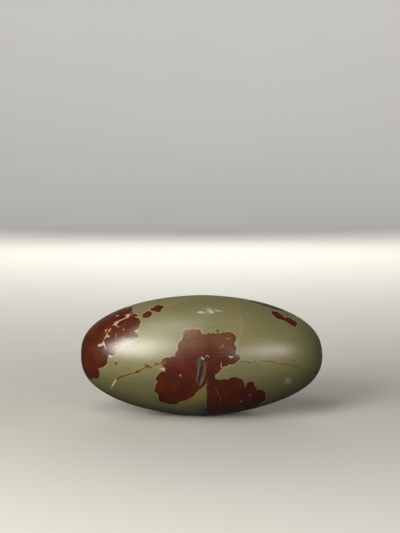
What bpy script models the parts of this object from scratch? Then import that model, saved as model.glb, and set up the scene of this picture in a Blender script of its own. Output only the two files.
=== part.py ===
"""Shiva lingam stone: one egg-shaped river stone, rubbed smooth, that lies on a small flat spot.

Units are metres and +Z is up. +X runs along the stone, -Y is the front with the long hollow,
and z = 0 is the flat spot that the stone rests on.
"""

import math

import bmesh
import bpy
from mathutils import Vector

MM = 0.001

# Driving dimensions
HALF_LENGTH = 120.2 * MM
HALF_DEPTH = 58.5 * MM
CROWN = 61.0 * MM  # from the long axis up to the crest
KEEL = 59.2 * MM  # from the long axis down, before the flat spot is rubbed off
TIP_RISE = 1.2 * MM  # how far the two tips ride above the middle of the long axis
FLAT_CUT = 1.0 * MM  # how much of the keel the flat spot takes away

# Fullness of the outline: 2 and 2 would be a plain ellipse
END_FULLNESS = 1.66
GIRTH_FULLNESS = 2.48
CREST_EASE = 0.10  # share of the half length over which the crest is eased round

# Slow swells left by rubbing the stone down by hand, as shares of its radius
CREST_SWELL = 0.008
SIDE_SWELL = 0.004
HEEL_SWELL = 0.020  # the underside is a little fuller towards -X than towards +X

# The long hollow in the front face
HOLLOW_TOP = math.radians(9.5)  # angles round the girth, above the level of the long axis
HOLLOW_BOTTOM = math.radians(-19.5)
HOLLOW_TOP_X = 1.7 * MM
HOLLOW_BOTTOM_X = -2.8 * MM
HOLLOW_BOW = 1.2 * MM  # how far its middle bends towards +X
HOLLOW_WIDTH = 6.2 * MM
HOLLOW_DEPTH = 1.9 * MM

# Fineness of the faceted skin
CELLS_ALONG = 36
CELLS_ACROSS = 18
CUTTER_RINGS = 24
CUTTER_SIDES = 20
SHARP_EDGE = math.radians(25)

# Finish
STONE_COLOUR = (0.235, 0.215, 0.125, 1.0)
STONE_ROUGHNESS = 0.32


def eased(share):
    """How much of the outline's fullness is used up at a share of the half length."""
    power = END_FULLNESS / 2
    start = CREST_EASE**END_FULLNESS
    end = (1 + CREST_EASE**2) ** power
    return ((share * share + CREST_EASE**2) ** power - start) / (end - start)


def girth_share(along):
    """Radius of the girth, as a share of the full one, at a share of the half length."""
    return max(0.0, 1 - eased(along)) ** (1 / GIRTH_FULLNESS)


def swell(x, y, z):
    """Slow unevenness of the skin at a point given in shares of the half sizes."""
    crest = -CREST_SWELL * max(z, 0.0) * math.cos(5.2 * x + 0.3)
    side = SIDE_SWELL * math.sin(3.1 * x + 4.3 * y - 0.8) * math.cos(3.7 * z + 1.9 * x)
    heel = HEEL_SWELL * x * min(z, 0.0)
    return crest + side + heel


def skin(x, y, z):
    """The point of the skin whose shares of the half sizes are x, y and z."""
    radius = 1 + swell(x, y, z)
    height = CROWN if z > 0 else KEEL
    return Vector((
        HALF_LENGTH * x * radius,
        HALF_DEPTH * y * radius,
        height * z * radius + TIP_RISE * x * x,
    ))


def skin_towards(direction):
    """The point of the skin that a ray from the middle of the stone meets."""
    ray = direction.normalized()
    side = math.hypot(ray.y, ray.z)
    near, far = 0.0, 2.0
    for _ in range(50):
        reach = (near + far) / 2
        if abs(reach * ray.x) < 1 and reach * side < girth_share(reach * ray.x):
            near = reach
        else:
            far = reach
    return skin(near * ray.x, near * ray.y, near * ray.z)


def skin_at(x, angle):
    """The point of the front of the skin at x, at an angle above the long axis."""
    along = x / HALF_LENGTH
    share = girth_share(along)
    return skin(along, -share * math.cos(angle), share * math.sin(angle))


def collection(name):
    made = bpy.data.collections.new(name)
    bpy.context.scene.collection.children.link(made)
    return made


def place(name, bm, home):
    mesh = bpy.data.meshes.new(name)
    bm.to_mesh(mesh)
    bm.free()
    obj = bpy.data.objects.new(name, mesh)
    home.objects.link(obj)
    return obj


def split(bm, axis, cells):
    """Cuts every edge that runs along an axis into equal cells."""
    edges = []
    for edge in bm.edges:
        run = edge.verts[1].co - edge.verts[0].co
        if abs(run[axis]) > 0.5 * run.length:
            edges.append(edge)
    bmesh.ops.subdivide_edges(bm, edges=edges, cuts=cells - 1, use_grid_fill=True)


def pebble():
    """A gridded cube blown out to the stone's skin, so that its faces stay even from tip to tip."""
    bm = bmesh.new()
    bmesh.ops.create_cube(bm, size=2.0)
    for axis, cells in ((0, CELLS_ALONG), (1, CELLS_ACROSS), (2, CELLS_ACROSS)):
        split(bm, axis, cells)
    for vert in bm.verts:
        even = [math.tan(math.pi / 4 * share) for share in vert.co]
        vert.co = skin_towards(Vector(even))
    return bm


def rub_flat(bm):
    """The flat spot: the keel is cut off level and closed with one flat face."""
    level = Vector((0, 0, FLAT_CUT - KEEL))
    everything = bm.verts[:] + bm.edges[:] + bm.faces[:]
    bmesh.ops.bisect_plane(
        bm, geom=everything, dist=1e-7, plane_co=level, plane_no=(0, 0, -1), clear_outer=True
    )
    rim = [edge for edge in bm.edges if edge.is_boundary]
    bmesh.ops.contextual_create(bm, geom=rim)
    bmesh.ops.recalc_face_normals(bm, faces=bm.faces[:])


def middle_of(bm):
    """The middle of the stone's footprint, on the flat spot."""
    xs = [vert.co.x for vert in bm.verts]
    ys = [vert.co.y for vert in bm.verts]
    zs = [vert.co.z for vert in bm.verts]
    return Vector(((min(xs) + max(xs)) / 2, (min(ys) + max(ys)) / 2, min(zs)))


def hollow_tool():
    """A slim bean that follows the skin of the front face, half sunk in it."""
    bm = bmesh.new()
    bmesh.ops.create_uvsphere(bm, u_segments=CUTTER_SIDES, v_segments=CUTTER_RINGS, radius=1.0)
    middle = (HOLLOW_TOP + HOLLOW_BOTTOM) / 2
    half_turn = (HOLLOW_TOP - HOLLOW_BOTTOM) / 2
    middle_x = (HOLLOW_TOP_X + HOLLOW_BOTTOM_X) / 2
    half_lean = (HOLLOW_BOTTOM_X - HOLLOW_TOP_X) / 2
    for vert in bm.verts:
        across, out, down = vert.co
        angle = middle - half_turn * down
        x = middle_x + half_lean * down + HOLLOW_BOW * (1 - down * down)
        skin_point = skin_at(x + HOLLOW_WIDTH / 2 * across, angle)
        outward = Vector((0, -math.cos(angle), math.sin(angle)))
        vert.co = skin_point + outward * HOLLOW_DEPTH * out
    return bm


def polished_stone():
    material = bpy.data.materials.new("polished_stone")
    material.use_nodes = True
    shader = material.node_tree.nodes["Principled BSDF"]
    shader.inputs["Base Color"].default_value = STONE_COLOUR
    shader.inputs["Roughness"].default_value = STONE_ROUGHNESS
    shader.inputs["Metallic"].default_value = 0.0
    return material


def main():
    for old in list(bpy.data.objects):
        bpy.data.objects.remove(old, do_unlink=True)
    bpy.context.scene.unit_settings.system = "METRIC"

    home = collection("shiva_lingam_stone")
    tools = collection("cutters")

    bm = pebble()
    rub_flat(bm)
    shift = -middle_of(bm)
    bmesh.ops.translate(bm, verts=bm.verts[:], vec=shift)
    stone = place("stone", bm, home)
    stone.data.materials.append(polished_stone())

    cutter = place("hollow_tool", hollow_tool(), tools)
    cutter.location = shift
    cutter.display_type = "WIRE"
    cutter.hide_render = True

    cut = stone.modifiers.new("hollow", "BOOLEAN")
    cut.operation = "DIFFERENCE"
    cut.solver = "EXACT"
    cut.object = cutter

    stone.data.shade_smooth()
    stone.data.set_sharp_from_angle(angle=SHARP_EDGE)


main()
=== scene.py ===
# %% [markdown]
# # A polished shiva lingam stone
# This notebook dresses one river stone: an egg of very fine quartz, rubbed smooth, olive-tan with
# brick-red patches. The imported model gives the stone's solid, and everything here sits on it.
# One unit is a metre. +X runs along the stone, -Y is its front and z = 0 is the table top.

# %% Load the solid
import math

import bmesh
import bpy
import numpy as np
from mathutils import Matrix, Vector, noise


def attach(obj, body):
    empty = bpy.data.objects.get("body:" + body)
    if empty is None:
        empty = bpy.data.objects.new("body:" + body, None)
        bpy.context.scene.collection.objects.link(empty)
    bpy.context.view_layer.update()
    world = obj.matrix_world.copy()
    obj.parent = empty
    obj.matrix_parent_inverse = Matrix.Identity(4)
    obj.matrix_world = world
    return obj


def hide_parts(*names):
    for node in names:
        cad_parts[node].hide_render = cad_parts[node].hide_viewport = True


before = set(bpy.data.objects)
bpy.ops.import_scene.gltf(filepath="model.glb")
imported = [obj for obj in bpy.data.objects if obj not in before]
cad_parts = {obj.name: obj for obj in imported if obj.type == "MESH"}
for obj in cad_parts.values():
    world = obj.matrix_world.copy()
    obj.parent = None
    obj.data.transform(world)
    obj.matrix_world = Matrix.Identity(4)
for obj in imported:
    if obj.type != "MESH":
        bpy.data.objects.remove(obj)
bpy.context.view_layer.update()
MM = 0.001

# %% [markdown]
# ## The camera comes first
# The patches are what people know this stone by, so each one has to land where the photograph
# shows it. They could be placed by measuring along the stone, but a picture measures them best.
# So the camera is set before anything is painted, and the places of the patches are then read as
# pixels of its picture. A longish lens from about 1.26 m makes one pixel cover one millimetre of
# the stone, and looks down on it by 11 degrees.

# %% Camera
PICTURE = (400, 533)
LENS = 85.0
SENSOR = 36.0  # along the picture's long side
STONE_PIXEL = (201.7, 355.8)  # where the middle of the stone lands
SIGHT_DOWN = math.radians(11.06)
DISTANCE = 1.2585
AXIS_HEIGHT = 58.2 * MM  # the stone's long axis above the table

focal_pixels = LENS / SENSOR * PICTURE[1]
tilt = SIGHT_DOWN - math.atan((STONE_PIXEL[1] - PICTURE[1] / 2) / focal_pixels)
forward = Vector((0, math.cos(tilt), -math.sin(tilt)))
rightward = Vector((1, 0, 0))
upward = rightward.cross(forward)
side_step = (STONE_PIXEL[0] - PICTURE[0] / 2) / focal_pixels * DISTANCE
eye = Vector((-side_step, -math.cos(SIGHT_DOWN) * DISTANCE, math.sin(SIGHT_DOWN) * DISTANCE + AXIS_HEIGHT))

camera = bpy.data.objects.new("camera", bpy.data.cameras.new("camera"))
camera.data.lens = LENS
camera.data.sensor_width = SENSOR
camera.location = eye
camera.rotation_euler = forward.to_track_quat("-Z", "Y").to_euler()
bpy.context.scene.collection.objects.link(camera)
bpy.context.scene.camera = camera
print("camera looks down by", round(math.degrees(tilt), 2), "degrees from", [round(v, 3) for v in eye])

# %% [markdown]
# ## The shape of the stone
# A river stone could be sculpted, or turned on a profile. Turning leaves a pinched pole at each
# tip, which shows in a gloss, so this one starts as a cube with a grid on it. Every point of the
# grid is sent out along its own ray until it meets the outline formula: the same formula, with the
# same sizes, as the solid has, only much finer. Three slow swells keep it from looking machined.

# %% Outline formula
HALF_LENGTH = 120.2 * MM
HALF_DEPTH = 58.5 * MM
CROWN = 61.0 * MM  # from the long axis up to the crest
KEEL = 59.2 * MM  # from the long axis down, before the flat spot
TIP_RISE = 1.2 * MM
END_FULLNESS = 1.66
GIRTH_FULLNESS = 2.48
CREST_EASE = 0.10
CREST_SWELL = 0.008
SIDE_SWELL = 0.004
HEEL_SWELL = 0.020
HALVINGS = 40  # enough to find the outline to far less than a thousandth of a millimetre


def eased(share):
    start = CREST_EASE**END_FULLNESS
    end = (1 + CREST_EASE**2) ** (END_FULLNESS / 2)
    return ((share**2 + CREST_EASE**2) ** (END_FULLNESS / 2) - start) / (end - start)


def girth_share(along):
    return np.clip(1 - eased(along), 0, None) ** (1 / GIRTH_FULLNESS)


def skin(shares):
    """Points of the skin, in metres from the middle, for points in shares of the half sizes."""
    x, y, z = shares.T
    crest = -CREST_SWELL * np.maximum(z, 0) * np.cos(5.2 * x + 0.3)
    side = SIDE_SWELL * np.sin(3.1 * x + 4.3 * y - 0.8) * np.cos(3.7 * z + 1.9 * x)
    heel = HEEL_SWELL * x * np.minimum(z, 0)
    radius = 1 + crest + side + heel
    height = np.where(z > 0, CROWN, KEEL) * z * radius + TIP_RISE * x * x
    return np.stack((HALF_LENGTH * x * radius, HALF_DEPTH * y * radius, height), 1)


def shares_towards(rays):
    """Where rays from the middle meet the outline, in shares, found by halving the gap."""
    rays = rays / np.linalg.norm(rays, axis=1, keepdims=True)
    side = np.hypot(rays[:, 1], rays[:, 2])
    near = np.zeros(len(rays))
    far = np.full(len(rays), 2.0)
    for _ in range(HALVINGS):
        reach = (near + far) / 2
        along = np.clip(reach * rays[:, 0], -1, 1)
        inside = (np.abs(reach * rays[:, 0]) < 1) & (reach * side < girth_share(along))
        near = np.where(inside, reach, near)
        far = np.where(inside, far, reach)
    return rays * near[:, None]


half_girth = float(girth_share(2 / 3)) * CROWN / MM
print("half girth in mm, a third of the length from the middle:", round(half_girth, 1))

# %% [markdown]
# ## A grid that is finer where the stone is hurt
# A smooth egg needs only a modest grid. The long hollow in the front and the rough strip below
# it need a finer one, so the cells there are split again before the grid is blown out. The
# hollow's place is given as on the solid: an angle round the girth, from the front over the top.

# %% Grid
CELLS_ALONG = 172
CELLS_ACROSS = 86
HURT_X = (-9.0 * MM, 12.0 * MM)
HURT_ANGLE = (math.radians(-84), math.radians(14))
HURT_CUTS = 2


def cube_grid():
    bm = bmesh.new()
    bmesh.ops.create_cube(bm, size=2.0)
    for axis, cells in ((0, CELLS_ALONG), (1, CELLS_ACROSS), (2, CELLS_ACROSS)):
        edges = []
        for edge in bm.edges:
            run = edge.verts[1].co - edge.verts[0].co
            if abs(run[axis]) > 0.5 * run.length:
                edges.append(edge)
        bmesh.ops.subdivide_edges(bm, edges=edges, cuts=cells - 1, use_grid_fill=True)
    return bm


def shares_of(bm):
    cube = np.array([vert.co[:] for vert in bm.verts])
    return shares_towards(np.tan(math.pi / 4 * cube))


def girth_angle(shares):
    return np.arctan2(shares[:, 2], -shares[:, 1])


def split_hurt_part(bm):
    shares = shares_of(bm)
    x = shares[:, 0] * HALF_LENGTH
    angle = girth_angle(shares)
    close = (x > HURT_X[0]) & (x < HURT_X[1]) & (angle > HURT_ANGLE[0]) & (angle < HURT_ANGLE[1])
    bm.verts.index_update()
    edges = [edge for edge in bm.edges if all(close[vert.index] for vert in edge.verts)]
    bmesh.ops.subdivide_edges(bm, edges=edges, cuts=HURT_CUTS, use_grid_fill=True)


grid = cube_grid()
split_hurt_part(grid)
shares = shares_of(grid)
points = skin(shares)
print("grid points:", len(points))

# %% [markdown]
# ## The hollow, the rough strip and the flat spot
# Near the middle of the front, a sliver has broken out along an old crack and left a hollow 6 mm
# wide and 30 mm long. It is pressed in here, rather than cut, because its walls are worn round.
# Below it runs a strip that the polishing never reached, so it keeps a crumbly, pitted face.
# Last, everything that would reach below the table is pressed level: that is the flat spot.

# %% Relief
HOLLOW_TOP = math.radians(9.5)
HOLLOW_BOTTOM = math.radians(-19.5)
HOLLOW_TOP_X = 1.7 * MM
HOLLOW_BOTTOM_X = -2.8 * MM
HOLLOW_BOW = 1.2 * MM
HOLLOW_WIDTH = 6.2 * MM
HOLLOW_DEPTH = 1.9 * MM
HOLLOW_WEAR = 1.3  # 0.5 would leave the walls as steep as a fresh break
STRIP_ANGLE = (math.radians(-47), math.radians(-83))
STRIP_X = 2.2 * MM
STRIP_HALF_WIDTH = 4.6 * MM
STRIP_DEPTH = 0.55 * MM
STRIP_EVEN = 0.55  # share of that depth that is even, before its crumbs
STRIP_CRUMB = 0.75
CRUMB_SIZE = 2.2 * MM
CRUMB_HEIGHT = 0.12 * MM
FOOT_EASE = 0.25 * MM  # height over which the flat spot's rim is rounded


def smooth_step(low, high, value):
    share = np.clip((value - low) / (high - low), 0, 1)
    return share * share * (3 - 2 * share)


def crumble(points):
    """Coarse and fine noise at points of the skin, from about -1 to 1."""
    coarse = [noise.noise(Vector(point / CRUMB_SIZE)) for point in points]
    fine = [noise.noise(Vector(point / CRUMB_SIZE * 2.7)) for point in points]
    return np.array(coarse) + 0.5 * np.array(fine)


def sink(points, shares):
    """The points with the hollow and the strip pressed in, towards the stone's long axis."""
    x = shares[:, 0] * HALF_LENGTH
    angle = girth_angle(shares)
    outward = np.stack((np.zeros(len(x)), -np.cos(angle), np.sin(angle)), 1)
    down = ((HOLLOW_TOP + HOLLOW_BOTTOM) / 2 - angle) / ((HOLLOW_TOP - HOLLOW_BOTTOM) / 2)
    middle = (HOLLOW_TOP_X + HOLLOW_BOTTOM_X) / 2 + (HOLLOW_BOTTOM_X - HOLLOW_TOP_X) / 2 * down
    middle += HOLLOW_BOW * (1 - down * down)
    across = (x - middle) / (HOLLOW_WIDTH / 2)
    inside = np.clip(1 - across**2 - down**2, 0, 1)
    depth = HOLLOW_DEPTH * inside**HOLLOW_WEAR
    run = (angle - STRIP_ANGLE[0]) / (STRIP_ANGLE[1] - STRIP_ANGLE[0])
    strip = smooth_step(0, 0.25, run) * smooth_step(1.1, 0.8, run)
    strip *= smooth_step(1.0, 0.45, np.abs(x - STRIP_X) / STRIP_HALF_WIDTH)
    hurt = (inside > 0) | (strip > 0)
    crumbs = np.zeros(len(x))
    crumbs[hurt] = crumble(points[hurt])
    depth += CRUMB_HEIGHT * crumbs * np.minimum(inside * 4, 1)
    depth += strip * STRIP_DEPTH * (STRIP_EVEN + STRIP_CRUMB * crumbs)
    return points - outward * depth[:, None]


points = sink(points, shares)
middle = (points.min(0) + points.max(0)) / 2
points -= (middle[0], middle[1], -AXIS_HEIGHT)
z = points[:, 2]
eased_z = (z + FOOT_EASE) ** 2 / (4 * FOOT_EASE)
points[:, 2] = np.where(z > FOOT_EASE, z, np.where(z < -FOOT_EASE, 0, eased_z))
foot = points[points[:, 2] == 0]
print("flat spot in mm:", np.round((foot.max(0) - foot.min(0))[:2] / MM, 1))

# %% [markdown]
# ## From points to a mesh in the frame
# The grid's faces are kept and only its points are moved, so the skin stays closed, with no
# pinched pole. The mesh rides on the frame's one body, takes the place of the plain solid and is
# smoothed in its shading alone. The check at the end shows how closely it follows the solid.

# %% Stone mesh
for vert, point in zip(grid.verts, points):
    vert.co = point
mesh = bpy.data.meshes.new("stone_skin")
grid.to_mesh(mesh)
grid.free()
mesh.shade_smooth()
stone = bpy.data.objects.new("stone_skin", mesh)
bpy.context.scene.collection.objects.link(stone)
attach(stone, "root")
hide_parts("stone")
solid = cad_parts["stone"]
bpy.context.view_layer.update()
gaps = [(stone.closest_point_on_mesh(vert.co)[1] - vert.co).length for vert in solid.data.vertices]
print("triangles:", sum(len(face.vertices) - 2 for face in mesh.polygons))
print("solid's points lie off the skin by at most", round(max(gaps) / MM, 2), "mm")

# %% [markdown]
# ## From pixels and girth angles to places on the stone
# A mark on the front is given by the pixel where the photograph shows it: a ray from the camera
# through that pixel finds its place on the skin. A mark that the photograph doesn't show is
# given by its x in millimetres and its angle in degrees round the girth: 0 is the front, 90 the
# crest, 180 the back. Both helpers return millimetres, the unit that the material works in.


# %% Places
def seen(px, py):
    ray = forward * focal_pixels + rightward * (px - PICTURE[0] / 2) - upward * (py - PICTURE[1] / 2)
    hit, place, _, _ = stone.ray_cast(eye, ray.normalized())
    if not hit:
        raise ValueError(f"pixel {px}, {py} is off the stone")
    return place / MM


def round_back(x, degrees):
    along = x * MM / HALF_LENGTH
    share = float(girth_share(np.array(along)))
    angle = math.radians(degrees)
    place = skin(np.array([[along, -share * math.cos(angle), share * math.sin(angle)]]))[0]
    return Vector(place) / MM + Vector((0, 0, AXIS_HEIGHT / MM))


print("middle of the front in mm:", [round(v, 1) for v in seen(*STONE_PIXEL)])

# %% [markdown]
# ## Writing shader maths as sums
# Every colour on this stone comes from distances: how far a point is from a patch, a vein or a
# speck. In Blender that is a net of Math nodes, which is slow to wire by hand. The class below
# wraps one socket, so that `1 - mask * 0.5` adds the nodes that it stands for. Colours and
# vectors have their own helpers, and any other node comes from `Wire.node`.


# %% Wire
class Wire:
    """One output socket of the material that is being made."""

    tree = None

    def __init__(self, socket):
        self.socket = socket

    @classmethod
    def node(cls, kind, settings=None, inputs=None, output=0):
        """Adds a node, sets it, feeds its sockets, and returns one output."""
        made = cls.tree.nodes.new(kind)
        for name, value in (settings or {}).items():
            setattr(made, name, value)
        for key, value in (inputs or {}).items():
            if isinstance(value, Wire):
                cls.tree.links.new(value.socket, made.inputs[key])
            else:
                made.inputs[key].default_value = value
        return cls(made.outputs[output]) if made.outputs else None

    @classmethod
    def math(cls, operation, *values):
        return cls.node("ShaderNodeMath", {"operation": operation}, dict(enumerate(values)))

    def __add__(self, other):
        return Wire.math("ADD", self, other)

    def __sub__(self, other):
        return Wire.math("SUBTRACT", self, other)

    def __rsub__(self, other):
        return Wire.math("SUBTRACT", other, self)

    def __mul__(self, other):
        return Wire.math("MULTIPLY", self, other)

    def __neg__(self):
        return Wire.math("MULTIPLY", self, -1)

    __radd__ = __add__
    __rmul__ = __mul__


def vector(operation, first, second):
    return Wire.node("ShaderNodeVectorMath", {"operation": operation}, {0: first, 1: second})


def measured(operation, first, second):
    """A number worked out from two vectors, such as their distance."""
    return Wire.node("ShaderNodeVectorMath", {"operation": operation}, {0: first, 1: second}, "Value")


def scaled(first, factor):
    return Wire.node("ShaderNodeVectorMath", {"operation": "SCALE"}, {0: first, "Scale": factor})


def step(value, low, high):
    """0 where value is at low, 1 at high, with a soft S between; low may be the larger."""
    sockets = {"Value": value, "From Min": low, "From Max": high}
    return Wire.node("ShaderNodeMapRange", {"interpolation_type": "SMOOTHSTEP", "clamp": False}, sockets)


def mixed(factor, first, second, blend="MIX"):
    """Two colours mixed. Sockets 6 and 7 are the Mix node's colours, and output 2 the result."""
    settings = {"data_type": "RGBA", "blend_type": blend}
    return Wire.node("ShaderNodeMix", settings, {0: factor, 6: first, 7: second}, 2)


def grain(place, size, detail=2.0, rough=0.5, output=0):
    """Cloudy noise from 0 to 1, whose largest clouds are about size mm wide."""
    sockets = {"Vector": place, "Scale": 1 / size, "Detail": detail, "Roughness": rough}
    return Wire.node("ShaderNodeTexNoise", {"noise_dimensions": "3D"}, sockets, output)


def colour(red, green, blue):
    """A colour as the eye reads it from the screen, 0 to 255, turned into light."""
    light = []
    for value in (red, green, blue):
        share = value / 255
        light.append(share / 12.92 if share <= 0.04045 else ((share + 0.055) / 1.055) ** 2.4)
    return (*light, 1.0)


material = bpy.data.materials.new("polished_stone")
material.use_nodes = True
Wire.tree = material.node_tree
shader = material.node_tree.nodes["Principled BSDF"]
stone.data.materials.clear()
stone.data.materials.append(material)

# %% [markdown]
# ## Lobes and lines
# Iron-red patches in this rock grow outwards from many points, so their edges are rows of round
# lobes with sharp pale cusps between. A patch is therefore a heap of balls: the field is the
# distance to the nearest ball's surface, below zero inside. Veins, seams and cracks are chains of
# tapered rods. Both are measured in 3-D, so they wrap round the stone with no seam or stretch.


# %% Fields
def field(name, place, build):
    """The distance in mm that build wires up for a place, kept in a node group of its own."""
    group = bpy.data.node_groups.new(name, "ShaderNodeTree")
    group.interface.new_socket("Place", in_out="INPUT", socket_type="NodeSocketVector")
    group.interface.new_socket("Distance", in_out="OUTPUT", socket_type="NodeSocketFloat")
    outer = Wire.tree
    Wire.tree = group
    distance = build(Wire.node("NodeGroupInput"))
    Wire.node("NodeGroupOutput", None, {0: distance})
    Wire.tree = outer
    return Wire.node("ShaderNodeGroup", {"node_tree": group}, {0: place})


def nearest(fields):
    closest = None
    for each in fields:
        closest = each if closest is None else Wire.math("MINIMUM", closest, each)
    return closest


def lobes(name, place, balls, merge=0.6):
    """Distance in mm to a heap of balls, each a centre and a radius."""

    def build(place):
        heap = None
        for centre, radius in balls:
            ball = measured("DISTANCE", place, tuple(centre)) - radius
            heap = ball if heap is None else Wire.math("SMOOTH_MIN", heap, ball, merge)
        return heap

    return field(name, place, build)


def rods(name, place, route):
    """Distance in mm to a chain of rods, each point a centre and a half width."""

    def build(place):
        chain = None
        for (start, thick), (end, thin) in zip(route, route[1:]):
            run = end - start
            away = vector("SUBTRACT", place, tuple(start))
            share = measured("DOT_PRODUCT", away, tuple(run / run.length_squared))
            share = Wire.node("ShaderNodeClamp", None, {"Value": share})
            width = Wire.math("MULTIPLY_ADD", share, thick - thin, -thick)
            rod = measured("DISTANCE", away, scaled(tuple(run), share)) + width
            chain = rod if chain is None else Wire.math("MINIMUM", chain, rod)
        return chain

    return field(name, place, build)


def on_front(marks):
    return [(seen(px, py), size) for px, py, size in marks]


def on_back(marks):
    return [(round_back(x, degrees), size) for x, degrees, size in marks]


print("marks can be placed on the front and on the back of", stone.name)

# %% [markdown]
# ## Uneven places
# A ball or a rod is too perfect for a rock. So the place that each distance is measured from is
# first pushed about by noise: a slow push that bends the edges and a fine one that frays them.
# Patches get both, lines get little of the slow one, and the patches round the back get more.

# %% Uneven places
place = scaled(Wire.node("ShaderNodeTexCoord", output="Object"), 1 / MM)


def push(size, detail, reach):
    """A push of up to half of reach, in mm, that changes its way about every size mm."""
    clouds = grain(place, size, detail, output="Color")
    return scaled(vector("SUBTRACT", clouds, (0.5, 0.5, 0.5)), reach)


def pushed(slow, fine):
    return vector("ADD", vector("ADD", place, slow), fine)


wander = push(6.0, 1.0, 2.2)
wander_fine = push(1.7, 2.0, 1.3)
uneven = pushed(wander, wander_fine)
soft_place = pushed(scaled(wander, 0.35), wander_fine)
ragged = pushed(scaled(wander, 2.6), scaled(wander_fine, 1.4))
print("nodes in the main net so far:", len(material.node_tree.nodes))

# %% [markdown]
# ## The red patches
# The lists give each lobe as pixel x, pixel y and radius in millimetres. The patch in the middle
# stands on the stone like a three-lobed leaf, the one on the left wraps the whole tip, and loose
# spots are strewn near the crest. A picture of the patches would be quicker, but it would have
# no back, and its pixels would show close up.

# %% Red patches, front
MIDDLE_PATCH = [
    (188.5, 334.6, 5.0), (193, 335.5, 6.6), (198.5, 334.6, 5.2), (191, 342, 9.0), (183, 345.5, 5.0),
    (186.5, 348, 8.6), (184, 356, 8.6), (197, 350, 14), (207, 349.5, 15.2), (216, 348.5, 13.6),
    (224, 341.5, 9.0), (229.3, 338.2, 6.6), (227.5, 350, 8.4), (237, 357.8, 3.2), (231.5, 359, 5.6),
    (224, 358.3, 8), (216.5, 361, 9.3), (213, 368.5, 6.8), (201, 367, 7), (209.4, 376.2, 5.6),
    (187, 332.4, 3.2), (200.8, 332.6, 3.2), (209, 335.2, 2.4), (213.6, 335.4, 2.2), (218, 335, 2.4),
]
LOWER_LEFT_PATCH = [
    (173, 363.5, 6.6), (166.5, 363, 5.2), (172, 371, 6.4), (181, 365, 6), (164.8, 379, 7.8),
    (160.3, 379, 4.4), (164, 388, 8.6), (158.8, 390.3, 4.4), (166, 396, 7.4), (164.5, 399, 6.0),
    (171, 399.6, 8.2), (180, 395, 8.6), (186.5, 391.5, 8.8), (177, 382, 12), (190, 376, 14),
    (196, 382, 8.6), (200.4, 378.6, 7.6), (193, 388, 5.8), (198, 385.4, 4.2),
]
LOWER_RIGHT_PATCH = [
    (214.8, 386.5, 8.2), (223, 389, 10.6), (234, 387.2, 10.9), (245.9, 390.0, 3.2), (250.6, 385.7, 4.5),
    (251, 391, 4.5), (254, 389, 2.6), (257, 396, 8.4), (257, 400, 9), (249, 399, 11), (238, 401, 16),
    (228, 402, 18), (210.4, 384, 3.8), (210.6, 386.8, 4), (211.2, 390, 4.6), (211.2, 393.4, 4.6),
    (211.2, 397, 4.6), (211.4, 400.6, 4.8), (212, 404.4, 5.2), (218, 402, 9), (222, 409, 16),
    (234, 408, 16), (247, 406, 12),
]
LEFT_PATCH = [
    (125.2, 311, 8.0), (133, 318.2, 5.6), (131, 323.6, 9.4), (127, 336, 9.2), (117.5, 342, 8.8),
    (111.5, 347, 8.0), (101.2, 359.6, 7.6), (97, 361, 7.0), (93.2, 371.6, 8.0), (112, 325, 16),
    (100, 335, 16), (102, 350, 10), (92, 345, 14), (91, 356, 12), (108, 316, 12), (136, 336, 2.4),
    (129.2, 308.6, 4.0), (130.4, 313.4, 2.6), (134, 315.2, 2.2),
]
SPOTS = [
    (155.4, 308.9, 4.0), (157.6, 307, 3.8), (160, 307.4, 4.0), (158, 309.8, 3.4), (152.4, 308.8, 1.8),
    (145.7, 315.3, 3.8), (148.3, 313.4, 3.6), (147.4, 315.6, 3.2), (151, 314.6, 1.2),
    (276.6, 314.2, 4.9), (279, 316, 5.2), (281.6, 317.4, 3.8), (284.5, 318.8, 2.8), (289.6, 320.6, 5.0),
    (293, 322.6, 4.7), (287, 319.6, 3.0), (285.8, 313.6, 1.4), (288, 315, 1.3),
]
CREST_SPOTS = [
    (252, 301.4, 3.2), (257, 302.6, 4.6), (261, 303.6, 5.0), (265, 304.8, 5.4), (269, 306, 5.4),
    (273, 307.2, 5.2), (277.5, 308.6, 4.8), (281, 310, 3.2),
]
PALE_BITES = [
    (204.3, 331.4, 3.2), (161.2, 369.2, 1.6), (137.6, 331.4, 2.1), (245.7, 384.4, 1.0),
    (215.6, 332.6, 1.4),
]
front_heaps = {
    "middle_patch": MIDDLE_PATCH,
    "lower_left_patch": LOWER_LEFT_PATCH,
    "lower_right_patch": LOWER_RIGHT_PATCH,
    "left_patch": LEFT_PATCH,
    "spots": SPOTS + CREST_SPOTS,
}
front_red = nearest(lobes(name, uneven, on_front(marks)) for name, marks in front_heaps.items())
print("lobes on the front:", sum(map(len, front_heaps.values())))

# %% [markdown]
# ## The patches that the photograph doesn't show
# A stone that is handled is seen from every side, so the red goes on round it. The left patch
# wraps its tip, the lower right one runs on beneath the stone, and the back has a loose patch and
# spots of its own. These lists give x in millimetres, the girth angle in degrees and the radius.
# Their lobes melt into each other more, so that no row of circles shows.

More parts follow.
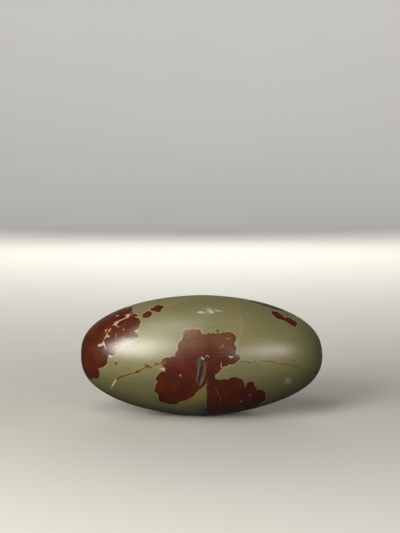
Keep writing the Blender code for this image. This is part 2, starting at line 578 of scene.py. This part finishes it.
# %% Red patches, out of the photograph's sight
HIDDEN_MERGE = 3.2
LEFT_TIP = [
    (-119, 0, 25), (-104, 90, 22), (-98, 115, 20), (-90, 135, 15), (-97, 158, 19), (-86, 176, 11),
    (-84, 186, 8), (-80, 168, 6), (-96, 195, 18), (-88, 208, 11), (-97, 222, 14), (-104, 238, 14),
    (-110, 256, 9), (-94, 180, 14), (-84, 112, 9), (-80, 98, 9), (-90, 88, 14), (-100, 75, 16),
]
CREST_PATCH = [
    (53, 98, 7), (62, 99, 8.6), (71, 99, 8.4), (79, 98, 7.2), (66, 108, 8.4), (76, 106, 6.6),
    (57, 109, 5.2), (84, 103, 3.4), (70, 118, 5.0), (49, 105, 3.0),
]
UNDERSIDE = [
    (16, -72, 15), (30, -78, 15), (44, -76, 12), (8, -92, 11), (22, -98, 14), (37, -96, 12),
    (50, -90, 9), (28, -114, 11), (14, -112, 8), (42, -112, 8), (33, -127, 7), (21, -126, 5),
]
BACK_PATCH = [
    (18, 172, 13), (31, 164, 10.5), (5, 180, 12), (-8, 172, 8.6), (24, 190, 9.6), (39, 176, 7),
    (-17, 183, 5.4), (11, 155, 8.4), (19, 147, 5.6), (2, 198, 6.6), (34, 199, 4.6), (46, 168, 3.6),
]
BACK_SPOTS = [
    (80, 214, 8.4), (90, 206, 7.6), (87, 224, 6.4), (72, 221, 5.6), (98, 216, 5.2), (62, 212, 2.0),
    (58, 160, 2.8), (64, 154, 1.8), (-36, 158, 3.4), (-41, 153, 2.2), (-52, 205, 4.2), (-47, 210, 3.2),
    (108, 152, 4.6), (111, 170, 3.4), (99, 146, 1.6), (-28, 252, 3.6), (-33, 256, 2.6), (0, 118, 2.4),
]
hidden_heaps = {
    "left_tip": LEFT_TIP,
    "crest_patch": CREST_PATCH,
    "underside": UNDERSIDE,
    "back_patch": BACK_PATCH,
    "back_spots": BACK_SPOTS,
}
hidden_red = nearest(
    lobes(name, ragged, on_back(marks), HIDDEN_MERGE) for name, marks in hidden_heaps.items()
)
red_field = Wire.math("MINIMUM", front_red, hidden_red)
red_field = Wire.math("MAXIMUM", red_field, -lobes("pale_bites", uneven, on_front(PALE_BITES)))
print("lobes out of sight:", sum(map(len, hidden_heaps.values())))

# %% [markdown]
# ## Veins, seams and cracks
# Healed cracks cross the stone. In the red they are cream, and outside it they are thin brown
# seams, stained with rust. One seam runs level round the stone just below its middle. Each route
# gives pixel x, pixel y and half width in millimetres, and a half width below 0 makes a line
# faint. The last ones run round the back, with girth angles. The scuffs are where a tool has
# rubbed the gloss off in short strokes.

# %% Routes
CREAM_VEINS = [
    [(134.4, 313.2, 0.2), (131.6, 313, 0.1), (128.2, 314.6, 0.8), (126.6, 317.2, 0.7), (123.4, 319, 0.5),
     (119.3, 320.7, 0.8), (116.5, 323.4, 1.1), (115, 324.3, 1.0), (112.8, 325, 0.5)],
    [(128.4, 314.6, 0.9), (127.4, 317.8, 0.6)],
    [(117, 320.9, 0.25), (114.4, 322.4, 0.4), (115.5, 324.2, 0.6)],
    [(115.5, 324.4, 0.5), (117.4, 326, 0.3), (118.2, 327.4, 0.3)],
    [(110.2, 329, 0.7), (109, 331.2, 0.6)],
    [(107.4, 329.6, 0.5), (105.7, 330.2, 0.6), (105.2, 331.6, 0.3)],
    [(107.2, 332.8, 0.5), (106.4, 336, 0.7), (104.6, 338.2, 0.7)],
    [(106.6, 335.8, 0.8), (108.8, 336.3, 0.7)],
    [(103.6, 341.4, 0.3), (103.4, 343.2, 1.1), (105, 345.8, 0.6), (105.6, 348.8, 0.2)],
    [(103.2, 343.6, 1.1), (101, 345, 1.3), (98.2, 345.6, 0.9)],
    [(108.8, 355.8, 0.8), (111.2, 357, 0.9)],
    [(134.8, 331.2, 0.5), (138, 330.6, 0.8)],
    [(135.4, 316.4, 0.3), (137.4, 317.2, 0.7)],
    [(221.4, 362.7, 0.3), (221.4, 367.7, 0.4)],
    [(229.3, 356.2, 0.5), (231.5, 357.2, 0.7), (233.6, 356.4, 0.3)],
    [(159.4, 368.6, 0.4), (163.4, 369.3, 0.9)],
]
PALE_LINES = [
    [(238.6, 308, -0.2), (240.5, 316, 0.1), (241.5, 320, 0.3), (242, 325, 0.3), (241.2, 330, 0.1),
     (240, 335, 0.2), (238.6, 340, 0.4), (237.4, 345, 0.3), (236.6, 350, 0.0)],
    [(197, 361.4, 0.0), (197.6, 364, -0.15), (198.4, 368.6, 0.1), (198.2, 372, 0.0), (197.7, 376, 0.05),
     (196.4, 379.2, 0.0), (194.8, 380.8, -0.2)],
    [(214.6, 386.6, -0.4), (216.5, 390.5, -0.2), (218.6, 393.4, -0.05), (219.6, 396, -0.2),
     (220.6, 399.4, -0.05), (220.7, 402, -0.1), (218.8, 405.6, -0.35)],
    [(206.8, 380, -0.2), (206.6, 386, 0.0)],
    [(226, 338.7, 0.1), (229, 338.4, 0.3), (231, 337.4, 0.0)],
    [(219.2, 348.4, 0.0), (221, 347.4, 0.0), (223, 347.2, 0.0)],
]
WHITE_LINES = [
    [(115.9, 380, 0.45), (114.2, 382.2, 0.75), (112.8, 384.8, 0.6), (111.6, 388, 0.3)],
    [(201.6, 357.6, 0.35), (203.6, 358.9, 0.5)],
    [(205.4, 356.6, 0.0), (207.6, 355.8, 0.1), (208.8, 356.8, 0.0)],
]
RUST_LINES = [
    [(116.6, 379.8, 0.7), (118, 378.2, 1.6), (119.6, 377.8, 0.6), (120.8, 376.8, 1.5),
     (122.2, 376.6, 0.5), (123.6, 376.2, 1.2), (125.4, 375.6, 0.4), (128, 374.6, 1.0),
     (130.4, 373.6, 0.3), (133, 372.8, 0.9)],
    [(139.6, 371, 0.7), (142, 369.4, 0.3), (144.6, 368.2, 0.9)],
    [(151, 367.2, 0.9), (153.6, 366.2, 0.4), (156.4, 363.6, 1.4), (159.4, 364.8, 0.8), (162, 363.2, 1.4)],
    [(265, 361.2, 0.3), (278, 361.4, 0.5)],
    [(191, 326.4, 0.5), (194.2, 325.8, 0.4)],
]
DARK_LINES = [
    [(134.4, 372.6, 0.4), (136.6, 372, 1.2), (138.8, 371.6, 0.9)],
    [(145, 364, 0.2), (145.8, 366, 0.9), (147.8, 366.6, 1.6), (150.6, 367.4, 0.8)],
    [(156.4, 363.4, 0.5), (157.2, 363.6, 0.5)],
    [(115.5, 363.4, 1.3), (116.3, 364, 1.3)],
    [(217.2, 331, 1.2), (218.1, 330.9, 1.2)],
    [(247.8, 362.4, 0.5), (249.8, 362.5, 0.7)],
    [(262.8, 360.6, 0.3), (263.8, 360.9, 0.4)],
    [(313.8, 371, 0.6), (316, 373, 0.8)],
    [(195.6, 384.6, 1.0), (197.4, 382.4, 1.0)],
]
# Smoke: the level line across the upper right is a brown stain; the other three paint shade, in the
# hollow's top end and along a shallow trough below it that the mesh doesn't have.
SMOKE_AND_SHADE_LINES = [
    [(196.6, 357.4, 0.6), (200.6, 357.8, 0.9), (199.6, 361, 1.2), (200.2, 364, 1.2)],
    [(207.6, 376.4, 0.5), (210.4, 380.4, 1.3), (213.2, 385, 1.5), (215, 388, 0.9)],
    [(218.2, 390.2, 0.5), (220.4, 394, 0.8), (222, 398.6, 0.9), (222.2, 403, 0.8), (221, 406.6, 0.6)],
    [(204, 355, 0.1), (210, 354.4, 0.3), (216, 354, 0.2), (221, 354.4, 0.1), (228, 353.8, 0.3),
     (235.4, 353.6, 0.2)],
]
SEAMS = [
    [(112.4, 393.4, 0.2), (111.2, 390, 0.3)],
    [(115.5, 381, 0.3), (120, 378.2, 0.4), (124, 375.9, 0.3), (131, 373.5, 0.3), (137.5, 372.3, 0.5),
     (142, 369.8, 0.35), (147, 367, 0.5), (153, 366.1, 0.3), (160, 364.4, 0.35), (165, 362.4, 0.3)],
    [(239.5, 362.1, 0.3), (245, 361.9, 0.4), (250, 362.3, 0.4), (255, 361.6, 0.3), (262, 361, 0.25),
     (270, 362.2, 0.3), (276, 363.3, 0.35), (288.3, 364.8, 0.3), (296.7, 366.8, 0.3), (305, 368, 0.3),
     (311, 369.8, 0.35), (317, 373.4, 0.4)],
]
PALE_DASHES = [
    [(124.6, 374, 0.3), (127, 373.2, 0.5)],
    [(131, 372.2, 0.3), (134.6, 371.2, 0.5)],
    [(151.4, 365.4, 0.4), (153.6, 366.6, 0.3)],
    [(156.6, 367.4, 0.5), (160.8, 366.2, 0.4)],
    [(250.4, 360.7, 0.4), (253.6, 360.6, 0.3)],
    [(256.4, 360.3, 0.35), (259.4, 360.2, 0.4)],
    [(260.4, 360.2, 0.4), (262, 360.3, 0.3)],
    [(276, 361.8, 0.4), (280, 362.3, 0.3)],
    [(300, 366.6, 0.3), (309, 368, 0.4)],
]
BACK_SEAMS = [
    [(114.5, -24, 0.4), (118, -60, 0.4), (118, -110, 0.4), (113, -150, 0.4), (100, -163, 0.45),
     (80, -168, 0.4), (58, -165, 0.5), (36, -170, 0.35), (12, -167, 0.45), (-14, -172, 0.35),
     (-40, -166, 0.5), (-66, -171, 0.4), (-84, -164, 0.35)],
    [(-58, -120, 0.3), (-36, -112, 0.4), (-12, -118, 0.35), (2, -109, 0.3)],
]
BACK_VEINS = [
    [(-112, 175, 0.6), (-103, 168, 1.1), (-97, 172, 0.7), (-92, 162, 0.9), (-84, 160, 0.4)],
    [(8, 160, 0.4), (14, 171, 0.8), (22, 176, 0.6), (27, 187, 0.4)],
]
BACK_PALE_LINES = [
    [(-27, 118, 0.35), (-31, 134, 0.55), (-29, 152, 0.6), (-34, 172, 0.5), (-32, 194, 0.6),
     (-38, 214, 0.35)],
]
SCUFFS = [
    [(197.6, 312.6, 0.2), (200.4, 312.2, 1.5), (205.4, 312.8, 0.1)],
    [(206.4, 309.2, 0.0), (209.4, 309.4, 0.8), (212.8, 310.6, 0.2)],
    [(207.6, 311, 0.1), (211, 312, 1.5), (214.4, 312.8, 0.3)],
    [(213.6, 310.6, 0.0), (217.4, 310.8, 0.8), (222.8, 311.6, 0.0)],
    [(284.6, 383, 0.1), (288.8, 378.8, 0.4)],
    [(288.2, 384.2, 0.1), (291.6, 380.8, 0.2)],
    [(285.4, 379.4, 0.0), (287.2, 377.6, 0.1)],
]


def lines(name, routes, behind=()):
    chains = [on_front(route) for route in routes] + [on_back(route) for route in behind]
    return nearest(rods(name, soft_place, chain) for chain in chains)


vein_field = lines("cream_vein", CREAM_VEINS, BACK_VEINS)
pale_field = lines("pale_line", PALE_LINES, BACK_PALE_LINES)
white_field = lines("white_line", WHITE_LINES)
rust_field = lines("rust_line", RUST_LINES)
dark_field = lines("dark_line", DARK_LINES)
smoke_and_shade_field = lines("smoke_and_shade_line", SMOKE_AND_SHADE_LINES)
seam_field = lines("seam", SEAMS, BACK_SEAMS)
dash_field = lines("pale_dash", PALE_DASHES)
scuff_field = lines("scuff", SCUFFS)
print("nodes in the main net so far:", len(material.node_tree.nodes))

# %% [markdown]
# ## Specks and tinted zones
# White quartz specks are small lobes. A round zone is a wide, soft stain: its mask fades from 1
# at an inner radius to 0 at an outer one. Long zones follow a route instead: the ochre wedge
# between the two lower lobes, the raw strip beneath it and the scar that lines the hollow.

# %% Specks and zones
SPECK_MERGE = 0.1
WHITE_SPECKS = [
    (180.2, 375.3, 0.6), (222.9, 345.6, 0.4), (241.3, 401.5, 0.6), (116.8, 315.8, 0.7),
    (118.4, 315.6, 0.4),
]
PINK_SPECKS = [
    (115.9, 334.6, 0.4), (116, 337.4, 0.3), (123.7, 329.6, 0.6), (122.6, 336.8, 0.2), (250, 395.2, 0.6),
    (115.4, 326.4, 0.1), (119.2, 326.2, 0.1), (116.4, 343.4, 0.3), (116.6, 346.6, 0.6),
]
ROUND_ZONES = {
    "pale red, left": ((192, 334), 6, 24),
    "pale red, right": ((222, 337), 4, 22),
    "red smear": ((195, 352.7), 1, 5),
    "rusty end": ((162, 362), 1, 6),
    "ash": ((198.5, 359.5), 1, 5),
    "right scuff": ((287.6, 381.4), 0, 6),
    "top scuff": ((208, 311), 1, 10),
}
OCHRE_WEDGE = [(205.6, 384.5, 1.5), (203, 393, 4), (197, 398.6, 4.2), (186, 403.6, 3.4), (174, 407, 2)]
RAW_STRIP = [(203.6, 405.6, 1.8), (204.5, 413.5, 3.0)]
HOLLOW_SCAR = [(201, 359.5, 1.4), (202.2, 367, 2.9), (201.6, 374, 3.0), (198.6, 383, 1.8)]
SEAM_HEIGHT = (54, 40)  # the ground turns greyer, and darker as painted shade, between these heights, in mm above the table


def round_zone(spot, inner, outer):
    return step(measured("DISTANCE", uneven, tuple(seen(*spot))), outer, inner)


def long_zone(name, place, marks, outer, inner):
    return step(rods(name, place, on_front(marks)), outer, inner)


speck_field = lobes("white_specks", soft_place, on_front(WHITE_SPECKS), SPECK_MERGE)
pink_field = lobes("pink_specks", soft_place, on_front(PINK_SPECKS), SPECK_MERGE)
zones = {name: round_zone(*sizes) for name, sizes in ROUND_ZONES.items()}
pale_left = zones["pale red, left"]
pale_right = zones["pale red, right"] * 0.75
pale_red_zone = pale_left + pale_right - pale_left * pale_right
scuff_haze = Wire.math("MAXIMUM", zones["right scuff"] * 0.22, zones["top scuff"] * 0.12)
ochre_zone = long_zone("ochre_wedge", uneven, OCHRE_WEDGE, 3.6, -2.4)
strip_zone = long_zone("raw_strip", uneven, RAW_STRIP, 2.6, -2.0)
hollow_zone = long_zone("hollow_scar", soft_place, HOLLOW_SCAR, 2.2, -2.2)
below_seam = step(measured("DOT_PRODUCT", uneven, (0, 0, 1)), *SEAM_HEIGHT)
print("zones:", len(zones) + 4)

# %% [markdown]
# ## The rock's colours, with some painted shade
# The stone has few colours, and they are named here once. Each is written as the eye reads it
# from a screen and turned into light, which is what a material works in. They can't be picked
# from a lit picture as they stand, because that would keep its shade and shine in them. So each
# was changed until the render, under its own lights, looked like the photograph. The greyer olive
# of the lower half, the smoke, the scar and the raw strip also carry painted shade.

# %% Colour
OLIVE = colour(118, 115, 77)
TAN = colour(127, 117, 81)
# the lower half's olive: greyer, and darker as painted shade
GREY_OLIVE_AND_SHADE = colour(108, 104, 72)
BRICK = colour(92, 36, 17)
DEEP_BRICK = colour(75, 29, 15)
CLOUD = colour(72, 42, 21)
PALE_BRICK = colour(112, 76, 53)
SMEAR = colour(104, 44, 34)
RIM = colour(54, 37, 15)
HALO = colour(170, 142, 112)
CREAM = colour(206, 176, 148)
PALE = colour(156, 146, 120)
WHITE = colour(206, 200, 182)
RUST = colour(116, 76, 28)
SEAM = colour(74, 62, 28)
DARK = colour(60, 50, 20)
# dark brown: a stain, and painted shade by the hollow
SMOKE_AND_SHADE = colour(52, 40, 24)
DASH = colour(150, 134, 78)
OCHRE = colour(138, 115, 62)
# dull brown of the scar, darkened further as painted shade in the hollow
SCAR_AND_SHADE = colour(42, 25, 11)
ASH = colour(62, 54, 38)
# grey of the unpolished strip, darkened as painted shade under the stone
RAW_AND_SHADE = colour(52, 46, 36)
print("brick red in light:", [round(share, 3) for share in BRICK[:3]])

# %% [markdown]
# ## Grains of many sizes
# The rock was laid down in thin beds and stained later, so its colour changes at every size: in
# drifts of about 40 mm, in level streaks, and in dust that shows only close up. A picture of rock
# would stretch at the tips. Noise in 3-D doesn't, so each size has a noise of its own, and the
# one for the streaks is drawn out along the beds.

# %% Grains
BED_SQUASH = (0.045, 0.30, 1.0)  # streaks run along x, and less far in depth

drift = grain(place, 38.0, 2.0)
beds = vector("ADD", vector("MULTIPLY", place, BED_SQUASH), scaled(wander, 0.25))
streaks = grain(beds, 1.6, 4.0, 0.62)
mottle = grain(place, 3.4, 3.0, 0.6)
dust = grain(place, 0.7, 2.0, 0.6)
crumbs = grain(place, 1.6, 2.0, 0.6) - 0.5
red_drift = grain(place, 12.0, 3.0, 0.6)
red_clouds = grain(place, 7.0, 3.0, 0.6)
halo_clouds = grain(place, 5.0, 2.0, 0.6)


def shade(of_streaks, of_mottle, of_dust):
    """A factor near 1 that streaks, mottles and dusts a colour."""
    return 1 + (streaks - 0.5) * of_streaks + (mottle - 0.5) * of_mottle + (dust - 0.5) * of_dust


def shaded(base, factor):
    grey = Wire.node("ShaderNodeCombineColor", None, {0: factor, 1: factor, 2: factor})
    return mixed(1.0, base, grey, "MULTIPLY")


print("nodes in the main net so far:", len(material.node_tree.nodes))

# %% [markdown]
# ## Colour, layer by layer
# The ground comes first: olive and warm tan, drifting slowly into each other, with the streaks
# in them. The red goes over it, with a thin dark rim just inside its edge and a cream halo just
# outside, as in the real rock. Each layer could be a shader of its own, but colours mixed by
# masks give the same picture with one shader, and the same masks then set the gloss.

# %% Ground and red
ground = mixed(step(drift, 0.36, 0.64), OLIVE, TAN)
# Below the seam the ground turns greyer and, as painted shade, darker.
ground = mixed(below_seam * 0.7, ground, GREY_OLIVE_AND_SHADE)
ground = mixed(ochre_zone * (0.3 + mottle * 0.9), ground, OCHRE)
ground = shaded(ground, shade(0.42, 0.20, 0.22))

red = mixed(step(red_drift, 0.34, 0.62), BRICK, DEEP_BRICK)
red = mixed(step(red_clouds, 0.5, 0.72) * 0.4, red, CLOUD)
red = mixed(pale_red_zone * 0.85, red, PALE_BRICK)
red = mixed(zones["red smear"] * 0.6, red, SMEAR)
red = mixed(zones["rusty end"] * step(crumbs, -0.1, 0.12), red, RUST)
red = shaded(red, shade(0.12, 0.30, 0.22))

red_edge = red_field + crumbs * 0.7
inside_red = step(red_edge, 0.25, -0.25)
rim = step(red_edge, -1.7, -0.3) * 0.4
halo = step(red_edge, 1.9, 0.35) * (step(halo_clouds, 0.40, 0.62) * 0.65 + 0.08)
halo = halo * (1 - below_seam * 0.75)
stain = step(nearest((rust_field, dark_field)) + crumbs, 2.6, 0.4) * 0.45

paint = mixed(stain, ground, DASH)
paint = mixed(halo, paint, HALO)
paint = mixed(inside_red, paint, mixed(rim, red, RIM))
print("nodes in the main net so far:", len(material.node_tree.nodes))

# %% [markdown]
# ## The small marks on top
# Each kind of mark is one row: its field, the distance where it starts, the distance where it
# is at its strongest, how strong it gets, and its tint. The same crumbly noise frays them all.
# Rust and dark spots come first, so that cream veins and white specks lie over them.

# %% Small marks
MARK_CRUMBLE = 1.1
MARKS = (
    (rust_field, 1.2, -0.6, 0.85, RUST),
    (seam_field, 0.6, -0.2, 0.65, SEAM),
    # smoke: a brown stain and, by the hollow, painted shade
    (smoke_and_shade_field, 1.4, -0.9, 0.55, SMOKE_AND_SHADE),
    (dark_field, 0.9, -0.5, 0.9, DARK),
    (dash_field, 0.7, -0.3, 0.7, DASH),
    (pale_field, 0.7, -0.4, 0.7, PALE),
    (pink_field, 0.9, -0.4, 0.55, CREAM),
    (vein_field, 0.3, -0.35, 0.95, CREAM),
    (white_field, 0.6, -0.3, 0.85, WHITE),
    (speck_field, 0.6, -0.3, 0.9, WHITE),
    (scuff_field, 0.9, -0.7, 0.65, WHITE),
)
paint = mixed(scuff_haze, paint, WHITE)
paint = mixed(zones["ash"] * 0.6, paint, ASH)
# the hollow's dull scar, with painted shade darkening it
paint = mixed(hollow_zone * 0.75, paint, SCAR_AND_SHADE)
for mark_field, start, full, strength, tint in MARKS:
    paint = mixed(step(mark_field + crumbs * MARK_CRUMBLE, start, full) * strength, paint, tint)
# the raw strip's grey, darkened as painted shade
paint = mixed(strip_zone * 0.85, paint, shaded(RAW_AND_SHADE, 1 + (mottle - 0.5) * 0.9))
material.node_tree.links.new(paint.socket, shader.inputs["Base Color"])
print("kinds of small marks:", len(MARKS))

# %% [markdown]
# ## Gloss and fine relief
# The stone is polished by hand to a satin gloss. The red is a little denser than the ground and
# takes a finer, grainier polish; the hollow, the strip and the scuffs stay dull. Relief too fine
# for the mesh, such as the beds' grain, pinholes and the step at a crack, goes through one Bump
# node. Its height is in millimetres and its reach is one of them, so the numbers are real depths.

# %% Gloss and bump
GROUND_ROUGH = 0.36
RED_ROUGH = 0.24
RED_GRAIN = 0.22
BED_ROUGH = 0.10
SMEAR_ROUGH = 0.10
SCAR_ROUGH = 0.75
STRIP_ROUGH = 0.6
SCUFF_ROUGH = 0.3
PINHOLE_CELLS = 0.42  # cells to a millimetre; a share of them has a pinhole each
PINHOLE_SHARE = 0.30
PINHOLE_DEPTH = 0.04
SEAM_DEPTH = 0.05
HAIR_DEPTH = 0.03
BED_HEIGHT = 0.006
DUST_HEIGHT = 0.004
SCAR_HEIGHT = 0.5
QUARTZ_IOR = 1.54
POLISH_LEVEL = 0.95  # 0.5 would be true to quartz; raised until the highlights matched

smear = grain(place, 14.0, 3.0, 0.6)
rough = GROUND_ROUGH + (smear - 0.5) * SMEAR_ROUGH + (streaks - 0.5) * BED_ROUGH
rough = rough + inside_red * ((RED_ROUGH - GROUND_ROUGH) + (dust - 0.5) * RED_GRAIN)
rough = rough + hollow_zone * SCAR_ROUGH + strip_zone * STRIP_ROUGH
rough = rough + step(scuff_field, 0.9, -0.4) * SCUFF_ROUGH
material.node_tree.links.new(rough.socket, shader.inputs["Roughness"])

cell_sockets = {"Vector": place, "Scale": PINHOLE_CELLS}
cell_reach = Wire.node("ShaderNodeTexVoronoi", {"feature": "F1"}, cell_sockets)
cell_pick = Wire(cell_reach.socket.node.outputs["Color"])
chosen = step(measured("DOT_PRODUCT", cell_pick, (1, 0, 0)), PINHOLE_SHARE, PINHOLE_SHARE - 0.05)
height = (streaks - 0.5) * BED_HEIGHT + (dust - 0.5) * DUST_HEIGHT
height = height - step(cell_reach, 0.16, 0.04) * chosen * PINHOLE_DEPTH
height = height - step(seam_field, 0.35, -0.2) * SEAM_DEPTH - step(pale_field, 0.3, -0.3) * HAIR_DEPTH
height = height + (hollow_zone + strip_zone) * (mottle - 0.5) * SCAR_HEIGHT
bump = Wire.node("ShaderNodeBump", None, {"Strength": 1.0, "Distance": MM, "Height": height})
material.node_tree.links.new(bump.socket, shader.inputs["Normal"])
shader.inputs["IOR"].default_value = QUARTZ_IOR
shader.inputs["Specular IOR Level"].default_value = POLISH_LEVEL
print("nodes in the main net:", len(material.node_tree.nodes))

# %% [markdown]
# ## Floor
# A pale floor curves up into its own backdrop on every side, so any view has a plain, seamless
# ground. It is a profile spun round once. The camera sees it, but the stone's gloss and the
# bounced light don't, because a pale floor would wash out the reds and light the underside, and
# the photograph shows both of them deep and dark.

# %% Floor
FLOOR_RADIUS = 1.7
CURVE_RADIUS = 1.0
WALL_HEIGHT = 3.0
SIDES = 96
CURVE_STEPS = 16
FLOOR_ROUGH = 0.8
FLOOR_LIGHT = colour(210, 208, 205)
FLOOR_DARK = colour(204, 202, 198)


def sweep_profile():
    """Points, as distance out and height, from the middle of the floor to the backdrop's top."""
    profile = [(0.0, 0.0), (FLOOR_RADIUS, 0.0)]
    for turn in range(1, CURVE_STEPS + 1):
        angle = math.pi / 2 * turn / CURVE_STEPS
        out = FLOOR_RADIUS + CURVE_RADIUS * math.sin(angle)
        profile.append((out, CURVE_RADIUS * (1 - math.cos(angle))))
    profile.append((FLOOR_RADIUS + CURVE_RADIUS, WALL_HEIGHT))
    return profile


bm = bmesh.new()
verts = [bm.verts.new((out, 0, up)) for out, up in sweep_profile()]
edges = [bm.edges.new(pair) for pair in zip(verts, verts[1:])]
bmesh.ops.spin(
    bm, geom=verts + edges, cent=(0, 0, 0), axis=(0, 0, 1), angle=math.tau, steps=SIDES, use_merge=True
)
bmesh.ops.remove_doubles(bm, verts=bm.verts[:], dist=1e-5)
bmesh.ops.recalc_face_normals(bm, faces=bm.faces[:])
floor_mesh = bpy.data.meshes.new("floor")
bm.to_mesh(floor_mesh)
bm.free()
floor_mesh.shade_smooth()
floor = bpy.data.objects.new("floor", floor_mesh)
bpy.context.scene.collection.objects.link(floor)

floor_material = bpy.data.materials.new("pale_floor")
floor_material.use_nodes = True
Wire.tree = floor_material.node_tree
floor_shader = floor_material.node_tree.nodes["Principled BSDF"]
floor_place = Wire.node("ShaderNodeTexCoord", output="Object")
floor_paint = mixed(grain(floor_place, 0.5, 3.0), FLOOR_DARK, FLOOR_LIGHT)
floor_material.node_tree.links.new(floor_paint.socket, floor_shader.inputs["Base Color"])
floor_shader.inputs["Roughness"].default_value = FLOOR_ROUGH
floor_mesh.materials.append(floor_material)
floor.visible_glossy = False
floor.visible_diffuse = False
print("floor faces:", len(floor_mesh.polygons))

# %% [markdown]
# ## Light
# The bands of light on a polished stone are pictures of the lamps, so their places tell where the
# lamps stood: a tall softbox at the front left, a lower, weaker one at the right, and faint ones
# above and beside the left one. Warm tints match the photograph. Behind the stone stand a dim
# softbox and a fill whose gloss is hidden, because it would draw a bright line along the crest.
# Two last lights face the backdrops alone.

# %% Lights
WARM = (1, 0.98, 0.88)
NEUTRAL = (1, 1, 1)
SKY = (0.95, 0.97, 1.0, 1.0)
SKY_STRENGTH = 0.03
BACKDROP_RISE = 82  # in degrees, so these two hang almost overhead
BACKDROP_DISTANCE = 2.2
BACKDROP_SIZE = (2.6, 1.2)
BACKDROP_POWER = 75
BACKDROP_DIP = 0.12  # how far they face down for each metre that they face out


def softbox(name, azimuth, elevation, distance, size, power, tint=WARM):
    """A soft light that faces the stone. Azimuth 0 is straight in front, and + is to the right."""
    light = bpy.data.lights.new(name, "AREA")
    light.shape = "RECTANGLE"
    light.size, light.size_y = size
    light.energy = power
    light.color = tint
    box = bpy.data.objects.new(name, light)
    turn, rise = math.radians(azimuth), math.radians(elevation)
    away = Vector((math.sin(turn) * math.cos(rise), -math.cos(turn) * math.cos(rise), math.sin(rise)))
    box.location = away * distance + Vector((0, 0, AXIS_HEIGHT))
    box.rotation_euler = (-away).to_track_quat("-Z", "Y").to_euler()
    bpy.context.scene.collection.objects.link(box)
    return box


softbox("left_softbox", -38, 22, 1.4, (0.66, 0.8), 18)
softbox("upper_left_softbox", -36, 60, 1.4, (0.6, 0.8), 4.2)
softbox("left_fill", -57, 20, 1.4, (0.28, 0.4), 1.3)
softbox("right_softbox", 38, 15, 1.4, (0.7, 0.36), 4.8)
softbox("back_softbox", 180, 20, 1.6, (2.6, 0.8), 0.8)
back_fill = softbox("back_fill", 180, 20, 1.7, (1.8, 0.8), 14)
back_fill.visible_glossy = False
for name, azimuth, facing in (("far_backdrop_light", 180, 1), ("near_backdrop_light", 0, -1)):
    box = softbox(name, azimuth, BACKDROP_RISE, BACKDROP_DISTANCE, BACKDROP_SIZE, BACKDROP_POWER, NEUTRAL)
    box.rotation_euler = Vector((0, facing, -BACKDROP_DIP)).to_track_quat("-Z", "Y").to_euler()

world = bpy.data.worlds.new("studio")
world.use_nodes = True
background = world.node_tree.nodes["Background"]
background.inputs["Color"].default_value = SKY
background.inputs["Strength"].default_value = SKY_STRENGTH
bpy.context.scene.world = world
bpy.context.scene.view_settings.view_transform = "Standard"
